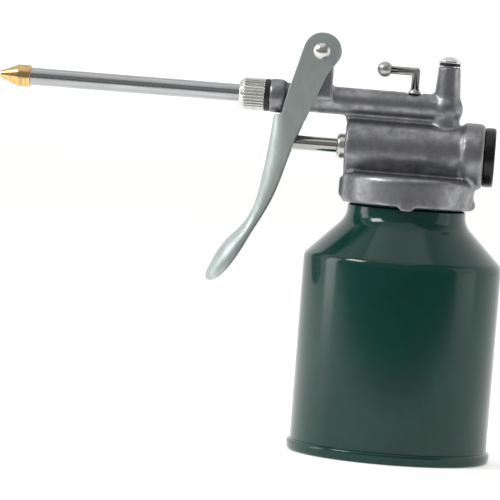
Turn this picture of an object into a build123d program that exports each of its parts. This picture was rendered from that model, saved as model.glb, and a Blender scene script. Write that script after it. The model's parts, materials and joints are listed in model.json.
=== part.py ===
"""Handy oiler: a round oil can with a lever-operated plunger pump screwed on its neck.

Millimetres, +Z up. The origin is the centre of the can's underside. The spout points
along -X, the pump's rear plug along +X. Every piece is symmetric about the XZ plane,
apart from the stop cock, which can be turned away from it.
"""
import os
from math import asin, cos, sin, sqrt

from build123d import *

# ------------------------------------------------------------------ driving dimensions
# Can, pressed from steel sheet.
CAN_RADIUS = 35.0
SHEET = 0.6
BEAD_RADIUS = 36.4
BEAD_TOP = 4.1
SHOULDER_Z = 69.8
NECK_RADIUS = 20.9
NECK_CORNER_Z = 83.8
NECK_TOP = 88.0
MOUTH_RADIUS = 19.8
MOUTH_TOP = 96.5
THREAD_PITCH = 3.0
RIDGE_RADIUS = 0.5

# Pump casting.
COLLAR_RADIUS = 23.3
COLLAR_BORE = 20.8
COLLAR_BOTTOM = 88.8
COLLAR_ROOF = 97.3
COLLAR_TOP = 99.5
COLLAR_EDGE = 2.3
# Grip ribs of the collar: centre x and y, size along x and y, lowest and highest z.
GRIP_RIBS = (
    (-COLLAR_RADIUS, 0, 2.6, 4.2, 90.8, 97.4),
    (0, -COLLAR_RADIUS, 4.2, 2.2, 87.7, 91.5),
    (0, COLLAR_RADIUS, 4.2, 2.2, 87.7, 91.5),
    (COLLAR_RADIUS - 0.5, 0, 2.6, 4.2, 89.8, 91.8),
)
PUMP_Z = 108.2
BARREL_RADIUS = 10.3
BARREL_FRONT = -23.5
BORE_RADIUS = 7.5
BORE_FRONT = -17.0
REAR_BOSS_RADIUS = 11.7
REAR_BOSS_FRONT = 18.0
REAR_FACE = 25.8
REAR_THREAD_RADIUS = 8.2
TUBE_Z = 124.1
TUBE_RADIUS = 4.9
OUTLET_FACE = -51.5
OUTLET_BOSS_RADIUS = 6.0
OUTLET_BOSS_LENGTH = 5.5
NIPPLE_RADIUS = 4.2
NIPPLE_END = -57.0
PASSAGE_RADIUS = 1.6
WEB_HALF_WIDTH = 2.6

# Valve tower, with the inlet valve straight below it.
VALVE_X = 11.2
TOWER_TOP = 139.2
TOWER_TOP_RADIUS = 3.9
TOWER_FOOT_RADIUS = 5.0
TOWER_BULB_RADIUS = 5.9
BALL_RADIUS = 2.5
SEAT_RADIUS = 1.8
CHAMBER_RADIUS = 2.8
OUTLET_SEAT_Z = 120.4
INLET_SEAT_Z = 93.0
INLET_BOSS_RADIUS = 5.0
INLET_BOSS_BOTTOM = 90.0
INLET_THREAD_RADIUS = 3.6
INLET_CHAMBER_TOP = 99.0
SEAT_GAP = 0.03
BALL_RISE = sqrt(BALL_RADIUS**2 - SEAT_RADIUS**2) + SEAT_GAP

# Lever, its pivot and the lug that carries it.
PIVOT_X = -34.0
PIVOT_Z = 141.1
LUG_RADIUS = 4.4
LUG_HALF_WIDTH = 6.0
LEVER_SHEET = 1.3
LEVER_INNER = 6.3
LEVER_OUTER = LEVER_INNER + LEVER_SHEET
LEVER_HEAD_RADIUS = 6.6
PAD_HALF_WIDTH = 10.0
WEB_TOP_Z = 117.3
PIN_RADIUS = 2.0
PIN_HEAD_RADIUS = 2.9
PIN_RIM = 0.3
PIN_DOME = 1.3

# Plunger, its gland and its spring.
ROD_RADIUS = 2.6
ROD_END = -48.8
ROD_DOME = 0.9
RUNNING_FIT = 0.05
GLAND_FRONT = -26.5
GLAND_RADIUS = 4.6
GLAND_THREAD_RADIUS = 3.6
PISTON_FRONT = -16.5
PISTON_LENGTH = 4.0
CUP_DISC = 1.5
CUP_LENGTH = 4.0
CUP_LIP = 0.8
SPRING_RADIUS = 5.4
SPRING_WIRE = 0.5

# Stop cock.
COCK_X = -0.5
COCK_RADIUS = 2.4
COCK_BOTTOM = 120.6
COCK_SHOULDER_Z = 127.2
COCK_SEAL_TOP = 128.6
STEM_RADIUS = 1.5
ARM_BOTTOM = 135.0
ARM_HEIGHT = 2.85
ARM_WIDTH = 3.2
HANDLE_BALL_X = -11.5
HANDLE_BALL_RADIUS = 2.8

# Spout.
NUT_FRONT = -62.3
NUT_REAR = -53.2
NUT_RADIUS = 5.65
FLUTES = 30
SPOUT_RADIUS = 3.1
SPOUT_WALL = 0.8
SPOUT_END = -139.5
TIP_REAR = -136.5
TIP_SHOULDER = -141.0
TIP_END = -147.4
TIP_RADIUS = 3.9
ORIFICE_RADIUS = 0.75

PUMP_AXIS = Axis((0, 0, PUMP_Z), (1, 0, 0))
TUBE_AXIS = Axis((0, 0, TUBE_Z), (1, 0, 0))
VALVE_AXIS = Axis((VALVE_X, 0, 0), (0, 0, 1))
COCK_AXIS = Axis((COCK_X, 0, 0), (0, 0, 1))

os.makedirs("parts", exist_ok=True)


def dome_middle(radius, height):
    """Find the point halfway up a spherical dome, as a distance off its axis and a height."""
    sphere = (radius**2 + height**2) / (2 * height)
    angle = asin(radius / sphere) / 2
    return sphere * sin(angle), sphere * cos(angle) - (sphere - height)


# ------------------------------------------------------------------------------- can
# The shell is one skin: wall, rounded shoulder, cone, neck and mouth.
with BuildPart() as can_shell:
    with BuildSketch(Plane.XZ):
        with BuildLine():
            FilletPolyline(
                (CAN_RADIUS - SHEET / 2, 2.2),
                (CAN_RADIUS - SHEET / 2, SHOULDER_Z),
                (NECK_RADIUS - SHEET / 2, NECK_CORNER_Z),
                (NECK_RADIUS - SHEET / 2, NECK_TOP),
                (MOUTH_RADIUS - SHEET / 2, NECK_TOP + 0.9),
                (MOUTH_RADIUS - SHEET / 2, MOUTH_TOP),
                radius=(3.4, 8.0, 0.5, 0.5),
            )
        trace(line_width=SHEET)
    revolve(axis=Axis.Z)
    with BuildSketch(Plane.XZ):
        with Locations((MOUTH_RADIUS - 0.1, 91.2), (MOUTH_RADIUS - 0.1, 91.2 + THREAD_PITCH)):
            Circle(RIDGE_RADIUS)
    revolve(axis=Axis.Z)
can_shell.part.label = "can_shell"
export_step(can_shell.part, "parts/can_shell.step")

# The base end is seamed round the wall's lower edge and stands on its rolled bead.
with BuildPart() as can_base:
    with BuildSketch(Plane.XZ):
        with BuildLine():
            Polyline((0, 2.2), (CAN_RADIUS - 2.0, 2.2), (CAN_RADIUS - 1.4, 0), (BEAD_RADIUS - 0.9, 0))
            ThreePointArc((BEAD_RADIUS - 0.9, 0), (BEAD_RADIUS, 2.2), (CAN_RADIUS, BEAD_TOP))
            Polyline(
                (CAN_RADIUS, BEAD_TOP),
                (CAN_RADIUS, 2.2),
                (CAN_RADIUS - SHEET, 2.2),
                (CAN_RADIUS - SHEET, BEAD_TOP),
                (CAN_RADIUS - 2 * SHEET, BEAD_TOP),
                (CAN_RADIUS - 2 * SHEET, 2.2 + SHEET),
                (0, 2.2 + SHEET),
                (0, 2.2),
            )
        make_face()
    revolve(axis=Axis.Z)
can_base.part.label = "can_base"
export_step(can_base.part, "parts/can_base.step")

# Flat ring that the mouth is screwed up against.
with BuildPart() as neck_gasket:
    with BuildSketch(Plane.XY.offset(MOUTH_TOP)):
        Circle(COLLAR_BORE - 0.2)
        Circle(MOUTH_RADIUS - 2.5, mode=Mode.SUBTRACT)
    extrude(amount=COLLAR_ROOF - MOUTH_TOP)
neck_gasket.part.label = "neck_gasket"
export_step(neck_gasket.part, "parts/neck_gasket.step")

# ---------------------------------------------------------------------- pump casting
with BuildPart() as pump_casting:
    # Collar that screws on the mouth, with its rounded shoulder.
    with BuildSketch(Plane.XZ):
        with BuildLine():
            FilletPolyline(
                (0, COLLAR_BOTTOM),
                (COLLAR_RADIUS, COLLAR_BOTTOM),
                (COLLAR_RADIUS, COLLAR_TOP),
                (0, COLLAR_TOP),
                radius=(0.4, COLLAR_EDGE),
            )
            Line((0, COLLAR_TOP), (0, COLLAR_BOTTOM))
        make_face()
    revolve(axis=Axis.Z)
    # Grip ribs: a tall one in front, short ones at the sides and behind.
    for x, y, along_x, along_y, bottom, top in GRIP_RIBS:
        with Locations((x, y, (bottom + top) / 2)):
            Box(along_x, along_y, top - bottom)
    # Pump barrel and rear boss.
    with BuildSketch(Plane.XZ):
        with BuildLine():
            FilletPolyline(
                (BARREL_FRONT, PUMP_Z),
                (BARREL_FRONT, PUMP_Z + BARREL_RADIUS),
                (REAR_BOSS_FRONT - 0.6, PUMP_Z + BARREL_RADIUS),
                (REAR_BOSS_FRONT + 0.4, PUMP_Z + REAR_BOSS_RADIUS),
                (REAR_FACE, PUMP_Z + REAR_BOSS_RADIUS),
                (REAR_FACE, PUMP_Z),
                radius=(0.8, 1.2, 1.4, 1.9),
            )
            Line((REAR_FACE, PUMP_Z), (BARREL_FRONT, PUMP_Z))
        make_face()
    revolve(axis=PUMP_AXIS)
    # Web that joins the barrel and the delivery tube.
    with BuildSketch(Plane.XZ):
        with BuildLine():
            Polyline(
                (BARREL_FRONT + 0.6, PUMP_Z + 5),
                (VALVE_X, PUMP_Z + 5),
                (VALVE_X, TUBE_Z),
                (BARREL_FRONT - 1.5, TUBE_Z),
                close=True,
            )
        make_face()
    extrude(amount=WEB_HALF_WIDTH, both=True)
    # Delivery tube, outlet boss and threaded nipple.
    with BuildSketch(Plane.XZ):
        with BuildLine():
            FilletPolyline(
                (VALVE_X, TUBE_Z),
                (VALVE_X, TUBE_Z + TUBE_RADIUS),
                (OUTLET_FACE + OUTLET_BOSS_LENGTH, TUBE_Z + TUBE_RADIUS),
                (OUTLET_FACE + OUTLET_BOSS_LENGTH, TUBE_Z + OUTLET_BOSS_RADIUS),
                (OUTLET_FACE, TUBE_Z + OUTLET_BOSS_RADIUS),
                (OUTLET_FACE, TUBE_Z + NIPPLE_RADIUS),
                (NIPPLE_END, TUBE_Z + NIPPLE_RADIUS),
                (NIPPLE_END, TUBE_Z),
                radius=(0.5, 0.3, 0.8, 0.4, 0, 0.4),
            )
            Line((NIPPLE_END, TUBE_Z), (VALVE_X, TUBE_Z))
        make_face()
    revolve(axis=TUBE_AXIS)
    # Valve tower: a cone with a bulb where the tube ends.
    with BuildSketch(Plane.XZ):
        with BuildLine():
            Polyline(
                (VALVE_X, PUMP_Z + 4),
                (VALVE_X + TOWER_FOOT_RADIUS, PUMP_Z + 4),
                (VALVE_X + TOWER_FOOT_RADIUS, TUBE_Z),
                (VALVE_X + TOWER_TOP_RADIUS, TOWER_TOP),
                (VALVE_X, TOWER_TOP),
                close=True,
            )
        make_face()
    revolve(axis=VALVE_AXIS)
    with Locations((VALVE_X, 0, TUBE_Z)):
        Sphere(TOWER_BULB_RADIUS)
    # Lug for the lever's pivot.
    with BuildSketch(Plane.XZ):
        with BuildLine():
            Polyline(
                (PIVOT_X + LUG_RADIUS, PIVOT_Z),
                (PIVOT_X + LUG_RADIUS, TUBE_Z),
                (PIVOT_X - LUG_RADIUS, TUBE_Z),
                (PIVOT_X - LUG_RADIUS, PIVOT_Z),
            )
            ThreePointArc(
                (PIVOT_X - LUG_RADIUS, PIVOT_Z),
                (PIVOT_X, PIVOT_Z + LUG_RADIUS),
                (PIVOT_X + LUG_RADIUS, PIVOT_Z),
            )
        make_face()
    extrude(amount=LUG_HALF_WIDTH, both=True)

    # Hollows. Collar, leaving the boss of the inlet valve.
    with BuildSketch(Plane.XY.offset(COLLAR_BOTTOM - 2)):
        Circle(COLLAR_BORE)
    extrude(amount=COLLAR_ROOF - COLLAR_BOTTOM + 2, mode=Mode.SUBTRACT)
    with BuildSketch(Plane.XY.offset(INLET_BOSS_BOTTOM)):
        with Locations((VALVE_X, 0)):
            Circle(INLET_BOSS_RADIUS)
    extrude(amount=COLLAR_TOP - INLET_BOSS_BOTTOM)
    # Pump bore, rear thread, packing seat and rod hole in one stepped bore.
    with BuildSketch(Plane.XZ):
        with BuildLine():
            Polyline(
                (BARREL_FRONT - 1, PUMP_Z),
                (BARREL_FRONT - 1, PUMP_Z + GLAND_THREAD_RADIUS),
                (BORE_FRONT - 1.5, PUMP_Z + GLAND_THREAD_RADIUS),
                (BORE_FRONT - 1.5, PUMP_Z + ROD_RADIUS + RUNNING_FIT),
                (BORE_FRONT, PUMP_Z + ROD_RADIUS + RUNNING_FIT),
                (BORE_FRONT, PUMP_Z + BORE_RADIUS),
                (REAR_BOSS_FRONT, PUMP_Z + BORE_RADIUS),
                (REAR_BOSS_FRONT, PUMP_Z + REAR_THREAD_RADIUS),
                (REAR_FACE + 1, PUMP_Z + REAR_THREAD_RADIUS),
                (REAR_FACE + 1, PUMP_Z),
                close=True,
            )
        make_face()
    revolve(axis=PUMP_AXIS, mode=Mode.SUBTRACT)
    # Inlet valve: thread, ball chamber and port into the bore.
    with BuildSketch(Plane.XZ):
        with BuildLine():
            Polyline(
                (VALVE_X, INLET_BOSS_BOTTOM - 1),
                (VALVE_X + INLET_THREAD_RADIUS, INLET_BOSS_BOTTOM - 1),
                (VALVE_X + INLET_THREAD_RADIUS, INLET_SEAT_Z),
                (VALVE_X + CHAMBER_RADIUS, INLET_SEAT_Z),
                (VALVE_X + CHAMBER_RADIUS, INLET_CHAMBER_TOP),
                (VALVE_X + PASSAGE_RADIUS, INLET_CHAMBER_TOP),
                (VALVE_X + PASSAGE_RADIUS, PUMP_Z),
                (VALVE_X, PUMP_Z),
                close=True,
            )
        make_face()
    revolve(axis=VALVE_AXIS, mode=Mode.SUBTRACT)
    # Outlet valve: port out of the bore, seat and ball chamber up the tower.
    with BuildSketch(Plane.XZ):
        with BuildLine():
            Polyline(
                (VALVE_X, PUMP_Z),
                (VALVE_X + SEAT_RADIUS, PUMP_Z),
                (VALVE_X + SEAT_RADIUS, OUTLET_SEAT_Z),
                (VALVE_X + CHAMBER_RADIUS, OUTLET_SEAT_Z),
                (VALVE_X + CHAMBER_RADIUS, TOWER_TOP + 1),
                (VALVE_X, TOWER_TOP + 1),
                close=True,
            )
        make_face()
    revolve(axis=VALVE_AXIS, mode=Mode.SUBTRACT)
    # Delivery passage.
    with BuildSketch(Plane.YZ.offset(NIPPLE_END - 1)):
        with Locations((0, TUBE_Z)):
            Circle(PASSAGE_RADIUS)
    extrude(amount=VALVE_X - NIPPLE_END + 1, mode=Mode.SUBTRACT)
    # Socket of the stop cock, drilled from above.
    with BuildSketch(Plane.XY.offset(COCK_BOTTOM)):
        with Locations((COCK_X, 0)):
            Circle(COCK_RADIUS)
    extrude(amount=TUBE_RADIUS + 4, mode=Mode.SUBTRACT)
    # Pivot hole.
    with BuildSketch(Plane.XZ):
        with Locations((PIVOT_X, PIVOT_Z)):
            Circle(PIN_RADIUS + RUNNING_FIT)
    extrude(amount=LUG_HALF_WIDTH + 1, both=True, mode=Mode.SUBTRACT)
pump_casting.part.label = "pump_casting"
export_step(pump_casting.part, "parts/pump_casting.step")

# ------------------------------------------------------------------ gland and packing
with BuildPart() as rod_gland:
    with BuildSketch(Plane.XZ):
        with BuildLine():
            FilletPolyline(
                (GLAND_FRONT, PUMP_Z + ROD_RADIUS + RUNNING_FIT),
                (GLAND_FRONT, PUMP_Z + GLAND_RADIUS),
                (BARREL_FRONT, PUMP_Z + GLAND_RADIUS),
                (BARREL_FRONT, PUMP_Z + GLAND_THREAD_RADIUS),
                (BORE_FRONT - 3.5, PUMP_Z + GLAND_THREAD_RADIUS),
                (BORE_FRONT - 3.5, PUMP_Z + ROD_RADIUS + RUNNING_FIT),
                radius=(1.2, 0.3, 0, 0),
            )
            Line(
                (BORE_FRONT - 3.5, PUMP_Z + ROD_RADIUS + RUNNING_FIT),
                (GLAND_FRONT, PUMP_Z + ROD_RADIUS + RUNNING_FIT),
            )
        make_face()
    revolve(axis=PUMP_AXIS)
rod_gland.part.label = "rod_gland"
export_step(rod_gland.part, "parts/rod_gland.step")

with BuildPart() as gland_packing:
    with BuildSketch(Plane.YZ.offset(BORE_FRONT - 3.5)):
        with Locations((0, PUMP_Z)):
            Circle(GLAND_THREAD_RADIUS)
            Circle(ROD_RADIUS + RUNNING_FIT, mode=Mode.SUBTRACT)
    extrude(amount=2.0)
gland_packing.part.label = "gland_packing"
export_step(gland_packing.part, "parts/gland_packing.step")

# --------------------------------------------------------------------------- rear plug
SEAL_THICKNESS = 0.9
SPRING_SEAT_X = 21.0
SPRING_RECESS_RADIUS = 6.6
with BuildPart() as rear_plug:
    with BuildSketch(Plane.XZ):
        with BuildLine():
            FilletPolyline(
                (SPRING_SEAT_X, PUMP_Z),
                (SPRING_SEAT_X, PUMP_Z + SPRING_RECESS_RADIUS),
                (REAR_BOSS_FRONT + SEAL_THICKNESS, PUMP_Z + SPRING_RECESS_RADIUS),
                (REAR_BOSS_FRONT + SEAL_THICKNESS, PUMP_Z + REAR_THREAD_RADIUS),
                (REAR_FACE, PUMP_Z + REAR_THREAD_RADIUS),
                (REAR_FACE, PUMP_Z + 10.5),
                (29.5, PUMP_Z + 10.5),
                (29.5, PUMP_Z + 5.2),
                (28.5, PUMP_Z + 5.0),
                (28.5, PUMP_Z),
                radius=(0, 0, 0.3, 0, 0.4, 0.8, 0.3, 0.3),
            )
            Line((28.5, PUMP_Z), (SPRING_SEAT_X, PUMP_Z))
        make_face()
    revolve(axis=PUMP_AXIS)
rear_plug.part.label = "rear_plug"
export_step(rear_plug.part, "parts/rear_plug.step")

with BuildPart() as rear_plug_seal:
    with BuildSketch(Plane.YZ.offset(REAR_BOSS_FRONT)):
        with Locations((0, PUMP_Z)):
            Circle(REAR_THREAD_RADIUS)
            Circle(SPRING_RECESS_RADIUS, mode=Mode.SUBTRACT)
    extrude(amount=SEAL_THICKNESS)
rear_plug_seal.part.label = "rear_plug_seal"
export_step(rear_plug_seal.part, "parts/rear_plug_seal.step")

# ----------------------------------------------------------------------------- plunger
PISTON_REAR = PISTON_FRONT + PISTON_LENGTH
CUP_FACE = PISTON_REAR + CUP_DISC
TENON_RADIUS = 1.9
PISTON_NUT_LENGTH = 2.6
with BuildPart() as plunger_rod:
    dome_offset, dome_height = dome_middle(ROD_RADIUS, ROD_DOME)
    with BuildSketch(Plane.XZ):
        with BuildLine():
            Line((ROD_END, PUMP_Z), (CUP_FACE + PISTON_NUT_LENGTH + 0.5, PUMP_Z))
            Polyline(
                (CUP_FACE + PISTON_NUT_LENGTH + 0.5, PUMP_Z),
                (CUP_FACE + PISTON_NUT_LENGTH + 0.5, PUMP_Z + TENON_RADIUS),
                (PISTON_FRONT, PUMP_Z + TENON_RADIUS),
                (PISTON_FRONT, PUMP_Z + ROD_RADIUS),
                (ROD_END + ROD_DOME, PUMP_Z + ROD_RADIUS),
            )
            ThreePointArc(
                (ROD_END + ROD_DOME, PUMP_Z + ROD_RADIUS),
                (ROD_END + ROD_DOME - dome_height, PUMP_Z + dome_offset),
                (ROD_END, PUMP_Z),
            )
        make_face()
    revolve(axis=PUMP_AXIS)
plunger_rod.part.label = "plunger_rod"
export_step(plunger_rod.part, "parts/plunger_rod.step")

with BuildPart() as piston:
    with BuildSketch(Plane.YZ.offset(PISTON_FRONT)):
        with Locations((0, PUMP_Z)):
            Circle(BORE_RADIUS - RUNNING_FIT)
            Circle(TENON_RADIUS, mode=Mode.SUBTRACT)
    extrude(amount=PISTON_LENGTH)
piston.part.label = "piston"
export_step(piston.part, "parts/piston.step")

with BuildPart() as piston_cup:
    with BuildSketch(Plane.XZ):
        with BuildLine():
            Polyline(
                (PISTON_REAR, PUMP_Z + TENON_RADIUS),
                (PISTON_REAR, PUMP_Z + BORE_RADIUS - RUNNING_FIT),
                (PISTON_REAR + CUP_LENGTH, PUMP_Z + BORE_RADIUS - RUNNING_FIT),
                (PISTON_REAR + CUP_LENGTH, PUMP_Z + BORE_RADIUS - RUNNING_FIT - CUP_LIP),
                (CUP_FACE, PUMP_Z + BORE_RADIUS - RUNNING_FIT - CUP_LIP),
                (CUP_FACE, PUMP_Z + TENON_RADIUS),
                close=True,
            )
        make_face()
    revolve(axis=PUMP_AXIS)
piston_cup.part.label = "piston_cup"
export_step(piston_cup.part, "parts/piston_cup.step")

with BuildPart() as piston_nut:
    with BuildSketch(Plane.YZ.offset(CUP_FACE)):
        with Locations((0, PUMP_Z)):
            RegularPolygon(radius=4.0, side_count=6)
            Circle(TENON_RADIUS, mode=Mode.SUBTRACT)
    extrude(amount=PISTON_NUT_LENGTH)
piston_nut.part.label = "piston_nut"
export_step(piston_nut.part, "parts/piston_nut.step")

# The return spring stands between the cup and the recess in the rear plug.
SPRING_FRONT = CUP_FACE + SPRING_WIRE + 0.05
SPRING_LENGTH = SPRING_SEAT_X - SPRING_WIRE - 0.05 - SPRING_FRONT
with BuildPart() as return_spring:
    with BuildLine():
        coil = Helix(
            pitch=SPRING_LENGTH / 8,
            height=SPRING_LENGTH,
            radius=SPRING_RADIUS,
            center=(SPRING_FRONT, 0, PUMP_Z),
            direction=(1, 0, 0),
        )
    with BuildSketch(Plane(origin=coil @ 0, z_dir=coil % 0)):
        Circle(SPRING_WIRE)
    sweep(path=coil, is_frenet=True)
return_spring.part.label = "return_spring"
export_step(return_spring.part, "parts/return_spring.step")

# -------------------------------------------------------------------------------- lever
# Side outlines of the stamped channel, from the head down and from the tip up.
CHEEK_LINE = ((-40.3, 142.5), (-43.6, 130.0), (-45.4, 124.0))
WEB_LINE = (
    (-49.3, WEB_TOP_Z),
    (-50.1, 110.0),
    (-51.3, 100.0),
    (-52.7, 90.5),
    (-54.4, 84.0),
    (-57.6, 78.0),
    (-63.0, 72.0),
    (-67.2, 65.0),
    (-69.3, 59.4),
)
TIP_MIDDLE = (-69.1, 57.3)
REAR_LINE = (
    (-67.8, 57.0),
    (-62.5, 61.0),
    (-58.4, 67.8),
    (-53.6, 77.0),
    (-50.0, 83.5),
    (-46.6, 92.5),
    (-43.8, 102.0),
    (-41.0, 110.5),
    (-35.0, 124.0),
    (-30.6, 134.5),
    (-27.6, 139.4),
)
FLARE_TOP = 84.0
FLARE_BOTTOM = 71.0
PAD_TIP = 56.9


def set_back(points, distance):
    """Move the points of an open line square to it, to the left as it is walked."""
    moved = []
    last = len(points) - 1
    for index, (x, z) in enumerate(points):
        before = points[max(index - 1, 0)]
        after = points[min(index + 1, last)]
        along = Vector(after[0] - before[0], after[1] - before[1]).normalized()
        moved.append((x - along.Y * distance, z + along.X * distance))
    return moved


def front_outline(margin):
    """Draw the channel as it is seen from the front, smaller by a margin all round."""
    half = LEVER_OUTER - margin
    pad = PAD_HALF_WIDTH - margin
    FilletPolyline(
        (half, 150),
        (half, FLARE_TOP),
        (pad, FLARE_BOTTOM),
        (pad, PAD_TIP + margin),
        (-pad, PAD_TIP + margin),
        (-pad, FLARE_BOTTOM),
        (-half, FLARE_TOP),
        (-half, 150),
        radius=(16, 16, 7 - margin, 7 - margin, 16, 16),
    )
    Line((-half, 150), (half, 150))


# The hollow of the channel is open to the rear, and to the front above the web.
with BuildPart() as lever_hollow:
    with BuildSketch(Plane.XZ):
        inner_line = set_back(WEB_LINE, LEVER_SHEET)
        with BuildLine():
            Line((-60, 155), (-60, WEB_TOP_Z))
            Line((-60, WEB_TOP_Z), (inner_line[0][0], WEB_TOP_Z))
            Line((inner_line[0][0], WEB_TOP_Z), inner_line[1])
            Spline(*inner_line[1:])
            Polyline(inner_line[-1], (-70, 50), (-20, 50), (-20, 155), (-60, 155))
        make_face()
    extrude(amount=PAD_HALF_WIDTH, both=True)
    with BuildSketch(Plane.YZ.offset(-80)):
        with BuildLine():
            front_outline(LEVER_SHEET)
        make_face()
    extrude(amount=70, mode=Mode.INTERSECT)

with BuildPart() as lever:
    with BuildSketch(Plane.XZ):
        with BuildLine():
            Polyline(*CHEEK_LINE, WEB_LINE[0])
            Spline(*WEB_LINE)
            ThreePointArc(WEB_LINE[-1], TIP_MIDDLE, REAR_LINE[0])
            Spline(*REAR_LINE)
            Line(REAR_LINE[-1], CHEEK_LINE[0])
        make_face()
        with Locations((PIVOT_X, PIVOT_Z)):
            Circle(LEVER_HEAD_RADIUS)
    extrude(amount=PAD_HALF_WIDTH, both=True)
    with BuildSketch(Plane.YZ.offset(-80)):
        with BuildLine():
            front_outline(0)
        make_face()
    extrude(amount=70, mode=Mode.INTERSECT)
    add(lever_hollow.part, mode=Mode.SUBTRACT)
    with BuildSketch(Plane.XZ):
        with Locations((PIVOT_X, PIVOT_Z)):
            Circle(PIN_RADIUS)
    extrude(amount=LEVER_OUTER + 1, both=True, mode=Mode.SUBTRACT)
lever.part.label = "lever"
export_step(lever.part, "parts/lever.step")

# Rivet through both cheeks and the lug, with a domed head at each end.
with BuildPart() as pivot_pin:
    dome_offset, dome_height = dome_middle(PIN_HEAD_RADIUS, PIN_DOME)
    with BuildSketch(Plane.XY.offset(PIVOT_Z)):
        with BuildLine():
            Polyline(
                (PIVOT_X, 0),
                (PIVOT_X + PIN_RADIUS, 0),
                (PIVOT_X + PIN_RADIUS, LEVER_OUTER),
                (PIVOT_X + PIN_HEAD_RADIUS, LEVER_OUTER),
                (PIVOT_X + PIN_HEAD_RADIUS, LEVER_OUTER + PIN_RIM),
            )
            ThreePointArc(
                (PIVOT_X + PIN_HEAD_RADIUS, LEVER_OUTER + PIN_RIM),
                (PIVOT_X + dome_offset, LEVER_OUTER + PIN_RIM + dome_height),
                (PIVOT_X, LEVER_OUTER + PIN_RIM + PIN_DOME),
            )
            Line((PIVOT_X, LEVER_OUTER + PIN_RIM + PIN_DOME), (PIVOT_X, 0))
        make_face()
    revolve(axis=Axis((PIVOT_X, 0, PIVOT_Z), (0, 1, 0)))
    mirror(about=Plane.XZ)
pivot_pin.part.label = "pivot_pin"
export_step(pivot_pin.part, "parts/pivot_pin.step")

# --------------------------------------------------------------------------- stop cock
with BuildPart() as cock_spindle:
    with BuildSketch(Plane.XZ):
        with BuildLine():
            Polyline(
                (COCK_X, COCK_BOTTOM + 0.15),
                (COCK_X + COCK_RADIUS - RUNNING_FIT, COCK_BOTTOM + 0.15),
                (COCK_X + COCK_RADIUS - RUNNING_FIT, COCK_SHOULDER_Z),
                (COCK_X + STEM_RADIUS, COCK_SHOULDER_Z),
                (COCK_X + STEM_RADIUS, ARM_BOTTOM),
                (COCK_X + 1.0, ARM_BOTTOM),
                (COCK_X + 1.0, ARM_BOTTOM + ARM_HEIGHT),
                (COCK_X, ARM_BOTTOM + ARM_HEIGHT),
                close=True,
            )
        make_face()
    revolve(axis=COCK_AXIS)
    with BuildSketch(Plane.YZ.offset(COCK_X - COCK_RADIUS)):
        with Locations((0, TUBE_Z)):
            Circle(PASSAGE_RADIUS)
    extrude(amount=2 * COCK_RADIUS, mode=Mode.SUBTRACT)
cock_spindle.part.label = "cock_spindle"
export_step(cock_spindle.part, "parts/cock_spindle.step")

with BuildPart() as cock_seal:
    with BuildSketch(Plane.XY.offset(COCK_SHOULDER_Z + 0.15)):
        with Locations((COCK_X, 0)):
            Circle(COCK_RADIUS)
            Circle(STEM_RADIUS + RUNNING_FIT, mode=Mode.SUBTRACT)
    extrude(amount=COCK_SEAL_TOP - COCK_SHOULDER_Z - 0.15)
cock_seal.part.label = "cock_seal"
export_step(cock_seal.part, "parts/cock_seal.step")

with BuildPart() as cock_arm:
    with BuildSketch(Plane.YZ.offset(HANDLE_BALL_X)) as arm_section:
        with Locations((0, ARM_BOTTOM + ARM_HEIGHT / 2)):
            Rectangle(ARM_WIDTH, ARM_HEIGHT)
        chamfer(arm_section.vertices(), length=0.4)
    extrude(amount=COCK_X + STEM_RADIUS - HANDLE_BALL_X)
    chamfer(cock_arm.faces().sort_by(Axis.X)[-1].edges().sort_by(Axis.Z)[-1], length=0.7)
    with Locations((HANDLE_BALL_X, 0, ARM_BOTTOM + ARM_HEIGHT / 2)):
        Sphere(HANDLE_BALL_RADIUS)
    with BuildSketch(Plane.XY.offset(ARM_BOTTOM)):
        with Locations((COCK_X, 0)):
            Circle(1.0)
    extrude(amount=ARM_HEIGHT, mode=Mode.SUBTRACT)
cock_arm.part.label = "cock_arm"
export_step(cock_arm.part, "parts/cock_arm.step")

# ------------------------------------------------------------------------ outlet valve
SEAL_TOP = TOWER_TOP + 1.1
PLUG_BOTTOM = 133.0
VALVE_CAP_RADIUS = 4.2
VALVE_CAP_RIM_TOP = SEAL_TOP + 0.8
VALVE_CAP_DOME = 1.7
with BuildPart() as valve_plug_seal:
    with BuildSketch(Plane.XY.offset(TOWER_TOP)):
        with Locations((VALVE_X, 0)):
            Circle(3.75)
            Circle(CHAMBER_RADIUS, mode=Mode.SUBTRACT)
    extrude(amount=SEAL_TOP - TOWER_TOP)
valve_plug_seal.part.label = "valve_plug_seal"
export_step(valve_plug_seal.part, "parts/valve_plug_seal.step")

with BuildPart() as valve_plug:
    dome_offset, dome_height = dome_middle(VALVE_CAP_RADIUS, VALVE_CAP_DOME)
    with BuildSketch(Plane.XZ):
        with BuildLine():
            Polyline(
                (VALVE_X, PLUG_BOTTOM),
                (VALVE_X + CHAMBER_RADIUS, PLUG_BOTTOM),
                (VALVE_X + CHAMBER_RADIUS, SEAL_TOP),
                (VALVE_X + VALVE_CAP_RADIUS, SEAL_TOP),
                (VALVE_X + VALVE_CAP_RADIUS, VALVE_CAP_RIM_TOP),
            )
            ThreePointArc(
                (VALVE_X + VALVE_CAP_RADIUS, VALVE_CAP_RIM_TOP),
                (VALVE_X + dome_offset, VALVE_CAP_RIM_TOP + dome_height),
                (VALVE_X, VALVE_CAP_RIM_TOP + VALVE_CAP_DOME),
            )
            Line((VALVE_X, VALVE_CAP_RIM_TOP + VALVE_CAP_DOME), (VALVE_X, PLUG_BOTTOM))
        make_face()
    revolve(axis=VALVE_AXIS)
valve_plug.part.label = "valve_plug"
export_step(valve_plug.part, "parts/valve_plug.step")

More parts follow.
